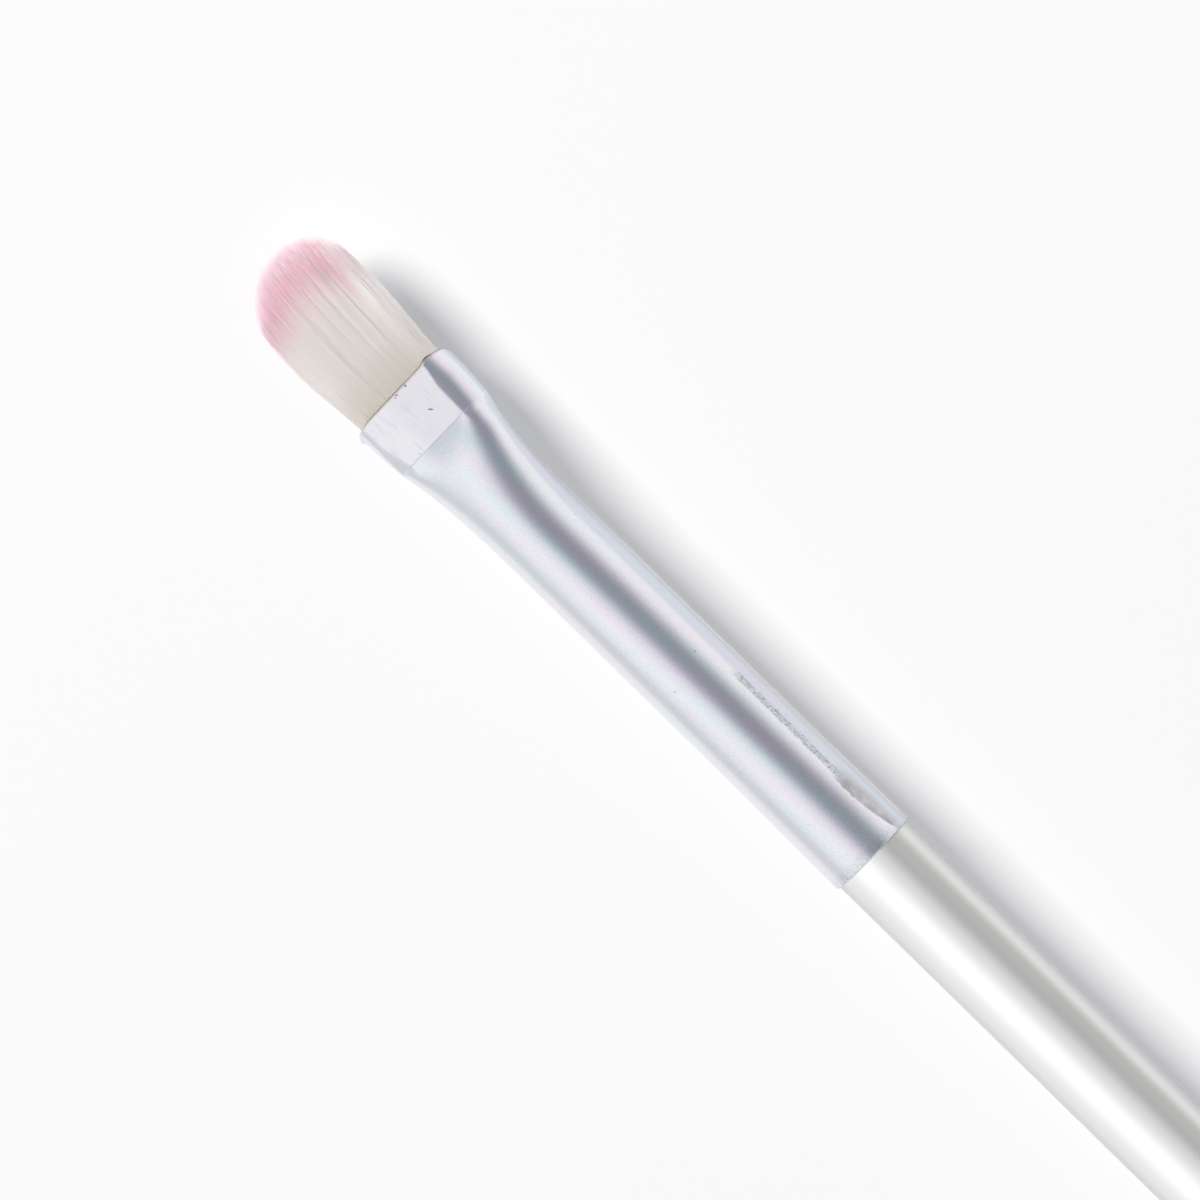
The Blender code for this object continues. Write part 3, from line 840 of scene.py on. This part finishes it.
def dyedFilament():
    # Extruded polyester filament with tapered tips, dip-dyed: fine silky lines and light that soaks through
    look = fibreLook
    material, tree = newMaterial("dipDyedPolyesterFilament")
    place, along, aside, _ = coordinatesInMm(tree)
    across = asSeen(tree, place)
    fromTip = addNode(tree, "Attribute", attribute_name="fromTip").outputs["Fac"]
    tone = addNode(tree, "Attribute", attribute_name="tone").outputs["Fac"]
    # The dye crept up some strands further than others
    patches = mottle(tree, place, look["dyePatch"], 2.0)
    creep = addNode(tree, "Math", {0: patches, 1: -2.0, 2: 1.0}, operation="MULTIPLY_ADD")
    spread = addNode(tree, "Math", {0: tone, 1: 0.45, 2: creep}, operation="MULTIPLY_ADD")
    stripes = []
    for stripe in ("paleStripe", "deepStripe"):
        middle, half, further = look[stripe]
        stripes.append(smoothBand(tree, across, middle, half, look["stripeEdge"]))
        spread = addNode(tree, "Math", {0: stripes[-1], 1: -further, 2: spread}, operation="MULTIPLY_ADD")
    paleStripe, deepStripe = stripes
    # Partly a line straight across the tuft as it was dipped, partly measured from each strand's own end
    level = addNode(tree, "Math", {0: tuftLook["length"] / mm, 1: along}, operation="SUBTRACT")
    dip = addNode(tree, "Mix", {0: look["ownEnd"], 2: level, 3: fromTip})
    reach = addNode(tree, "Math", {0: dip, 1: spread}, operation="ADD")
    soaked = addNode(tree, "MapRange", {"Value": reach, "From Min": look["dyeReach"], "From Max": 1.0}, **smooth)
    nearEdge = addNode(tree, "MapRange", {"Value": aside, "From Min": -3.9, "From Max": -2.9, "To Min": 0.5})
    tipFade = addNode(tree, "MapRange", {"Value": fromTip, "From Max": 1.2})
    behindTip = addNode(tree, "MapRange", {"Value": fromTip, "From Max": 2.0})
    dye = layCoats(tree, look["dyeTip"], (tipFade, look["dye"]), (deepStripe, behindTip, look["deepDye"]))
    # Strands differ a little between warm ivory and clear white
    light = addNode(tree, "MapRange", {"Value": tone, "From Min": -2.7, "From Max": 4.5})
    # and are painted lighter along both sides, most on the near side towards the tip, a little on the far side:
    # painted light
    ahead = addNode(tree, "MapRange", {"Value": along, "From Min": 1.5, "From Max": 7.5, "To Min": 0.5})
    nearSide = addNode(tree, "MapRange", {"Value": aside, "From Min": -2.6, "From Max": -3.8, "To Max": ahead})
    farSide = addNode(tree, "MapRange", {"Value": across, "From Min": -1.2, "From Max": -2.9, "To Max": 0.4})
    outer = addNode(tree, "Math", {0: nearSide, 1: farSide}, operation="MAXIMUM")
    clear = addNode(tree, "MapRange", {"Value": tone, "From Min": 1.9, "From Max": 2.6})
    clearer = addNode(tree, "Math", {0: product(tree, paleStripe, 0.06), 1: clear}, operation="MAXIMUM")
    # and a painted warm shade by the mouth, for the shade there and light bounced off the metal
    nearMouth = addNode(tree, "MapRange", {"Value": along, "From Min": 3.0, "From Max": 0.0})
    sides = addNode(tree, "Math", {0: aside}, operation="ABSOLUTE")
    inner = addNode(tree, "MapRange", {"Value": sides, "From Min": 3.8, "From Max": 2.2, "To Min": 0.1})
    colour = layCoats(tree, look["ivory"], (light, look["pale"]), (outer, look["edge"]),
                      (clearer, look["bright"]), (nearMouth, inner, look["root"]), (soaked, nearEdge, dye))
    shader = addNode(tree, "BsdfPrincipled", {"Base Color": colour, "Roughness": look["roughness"], "IOR": 1.5})
    through = addNode(tree, "BsdfTranslucent", {"Color": colour})
    both = addNode(tree, "MixShader", {0: look["throughLight"], 1: shader, 2: through})
    addNode(tree, "OutputMaterial", {"Surface": both})
    return material


resinLook = {
    "amber": "#B88A45",
    "adhesive": "#DCCF9C",
    "cloud": "#F2E6C8",
    "bubbles": 0.4,  # mm between clouds of bubbles
}


def curedResin(name, hexColour, roughness):
    # Poured epoxy or adhesive, cured hard: clouded by fine bubbles
    look = resinLook
    material, tree = newMaterial(name)
    bubbles = mottle(tree, coordinatesInMm(tree)[0], look["bubbles"], 3.0)
    shader = addNode(tree, "BsdfPrincipled", {
        "Base Color": layCoats(tree, hexColour, (bubbles, look["cloud"])), "Roughness": roughness, "IOR": 1.55,
        "Transmission Weight": 0.2})
    addNode(tree, "OutputMaterial", {"Surface": shader})
    return material


# Stage: table, light and camera

stageLook = {
    "table": "#939190",
    "tableShade": "#F8FAFF",      # what little light the shadow gets is cool
    "tableSize": 4.0,
    "camRoll": 26.0,  # degrees between the ferrule's flat and the camera's line
    "brushTilt": 44.39,  # degrees that the brush is turned in the picture
    "distance": 0.6,
    "frameWidth": 73.5 * mm,  # what the picture takes in at the brush
    "aimBehindMouth": 17.685 * mm,
    "aimAcross": 0.6 * mm,
    # Soft panels: what each gives out per area, how high it hangs, its length along the brush, its middle ahead
    # of the mouth in metres, and the angles over the table of its two edges from the far side
    "tableTop": (201.0, 3.0, 5.4, 6.00, (58.0, 106.0)),
    "fibresTop": (29.6, 1.0, 1.6, 1.15, (57.0, 101.0)),
    "fibresNear": (20.0, 0.5, 3.0, 0.6, (154.0, 176.0)),
    "fibresFar": (6.0, 0.5, 3.0, 0.6, (28.0, 62.0)),
    "fibresFront": (2.2, 0.5, 2.5, 1.75, (18.0, 162.0)),
    "handleTop": (10.4, 1.0, 1.3, -0.30, (57.0, 101.0)),
    "handleNear": (2.4, 0.5, 3.0, 0.0, (140.0, 171.0)),
    "handleSheen": (2.4, 1.0, 3.0, 0.0, (54.0, 90.0)),
    "tableGlow": 0.44,  # the table is lit from below too, so shadows stay light
}


def buildTable():
    half = stageLook["tableSize"] / 2
    corners = [(-half, -half, 0), (half, -half, 0), (half, half, 0), (-half, half, 0)]
    material, tree = newMaterial("paleCoatedBoard")
    shader = addNode(tree, "BsdfPrincipled", {
        "Base Color": stageLook["table"], "Roughness": 0.9, "Specular IOR Level": 0.0,
        "Emission Color": stageLook["tableShade"], "Emission Strength": stageLook["tableGlow"]})
    addNode(tree, "OutputMaterial", {"Surface": shader})
    table = meshObject("table", corners, [(0, 1, 2, 3)], material)
    allElse.objects.link(table)


def addPanel(name):
    glow, height, length, forward, elevations = stageLook[name]
    far, near = (height / math.tan(math.radians(angle)) for angle in elevations)
    panel = bpy.data.lights.new(name, "AREA")
    panel.shape = "RECTANGLE"
    panel.size = length
    panel.size_y = far - near
    panel.energy = glow * length * (far - near)
    light = newObject(name, panel)
    light.location = (mouthX + forward, (far + near) / 2, height)
    light.visible_glossy = False
    return light


def buildLight():
    # What the gloss sees is a studio that changes only with the direction across the brush: bright overhead and
    # on the far side, dark on the near side down to the table
    world = bpy.data.worlds.new("studio")
    scene.world = world
    world.cycles_visibility.diffuse = False
    world.use_nodes = True
    tree = world.node_tree
    tree.nodes.clear()
    axes = addNode(tree, "SeparateXYZ", {0: addNode(tree, "TexCoord").outputs["Generated"]})
    around = addNode(tree, "Math", {0: axes.outputs["Z"], 1: axes.outputs["Y"]}, operation="ARCTAN2")
    turned = addNode(tree, "MapRange", {"Value": around, "From Max": math.pi})
    # Degrees from the far side over the top to the near side
    stops = [(0, "#E6E6E6"), (8, "#D6D8DA"), (24, "#D2D4D8"), (38, "#E8EAED"), (55, "#F4F4F5"), (68, "#F7F7F8"),
             (88, "#EDEEF0"), (99, "#D8D9DF"), (109, "#AEB0BA"), (121, "#91949D"), (143, "#8E9199"),
             (157, "#B3B4B9"), (170, "#DDDEE0"), (180, "#F0F0F2")]
    ramp = addNode(tree, "ValToRGB", {0: turned}, stops=[(angle / 180, colour) for angle, colour in stops])
    # Even and pale beyond both ends of the brush
    endways = addNode(tree, "Math", {0: axes.outputs["X"]}, operation="ABSOLUTE")
    even = addNode(tree, "MapRange", {"Value": endways, "From Min": 0.6, "From Max": 0.9})
    room = layCoats(tree, ramp, (even, "#ECECEE"))
    glow = addNode(tree, "Background", {"Color": room, "Strength": 1.08})
    addNode(tree, "OutputWorld", {"Surface": glow})
    # Soft panels give the diffuse light. Those of the tuft and the handle reach nothing else. The table's lights
    # all the rest and casts the shadow
    for name in ("fibresTop", "fibresNear", "fibresFar", "fibresFront"):
        addPanel(name).light_linking.receiver_collection = fibreOnly
    for name in ("handleTop", "handleNear"):
        addPanel(name).light_linking.receiver_collection = handleOnly
    addPanel("tableTop").light_linking.receiver_collection = allElse
    # This one shows only in the handle's gloss
    sheen = addPanel("handleSheen")
    sheen.visible_glossy = True
    sheen.visible_diffuse = False
    sheen.light_linking.receiver_collection = handleOnly


def buildCamera():
    look = stageLook
    roll = math.radians(look["camRoll"])
    turn = math.radians(look["brushTilt"])
    along = Vector((1.0, 0.0, 0.0))
    across = Vector((0.0, math.cos(roll), math.sin(roll)))
    towards = Vector((0.0, -math.sin(roll), math.cos(roll)))
    right = -along * math.cos(turn) - across * math.sin(turn)
    upward = along * math.sin(turn) - across * math.cos(turn)
    aim = Vector((mouthX - look["aimBehindMouth"], 0.0, axisZ)) + across * look["aimAcross"]
    camera = bpy.data.cameras.new("camera")
    camera.lens = camera.sensor_width * look["distance"] / look["frameWidth"]
    camera.clip_start = 0.01
    holder = newObject("camera", camera)
    place = Matrix((right, upward, towards)).transposed().to_4x4()
    place.translation = aim + towards * look["distance"]
    holder.matrix_world = place
    scene.camera = holder
    scene.view_settings.view_transform = "Standard"
    # White fibres pass light on many times
    scene.cycles.diffuse_bounces = 12
    scene.cycles.max_bounces = 16


buildCamera()
buildTable()
buildLight()
print("stage ready")

amber = curedResin("pouredAmberEpoxy", resinLook["amber"], 0.25)
adhesive = curedResin("curedClearAdhesive", resinLook["adhesive"], 0.35)
insides = {"root_resin": amber, "glue_ring_1": adhesive, "glue_ring_2": adhesive, "glue_ring_3": adhesive}
for name, material in insides.items():
    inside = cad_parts[name]
    inside.data.materials.clear()
    inside.data.materials.append(material)
    allElse.objects.link(inside)

buildHandle(pearlWhitePlastic())
print("handle ready")
buildFerrule(pearlAluminium())
print("ferrule ready")
buildTuft(dyedFilament(), amber)
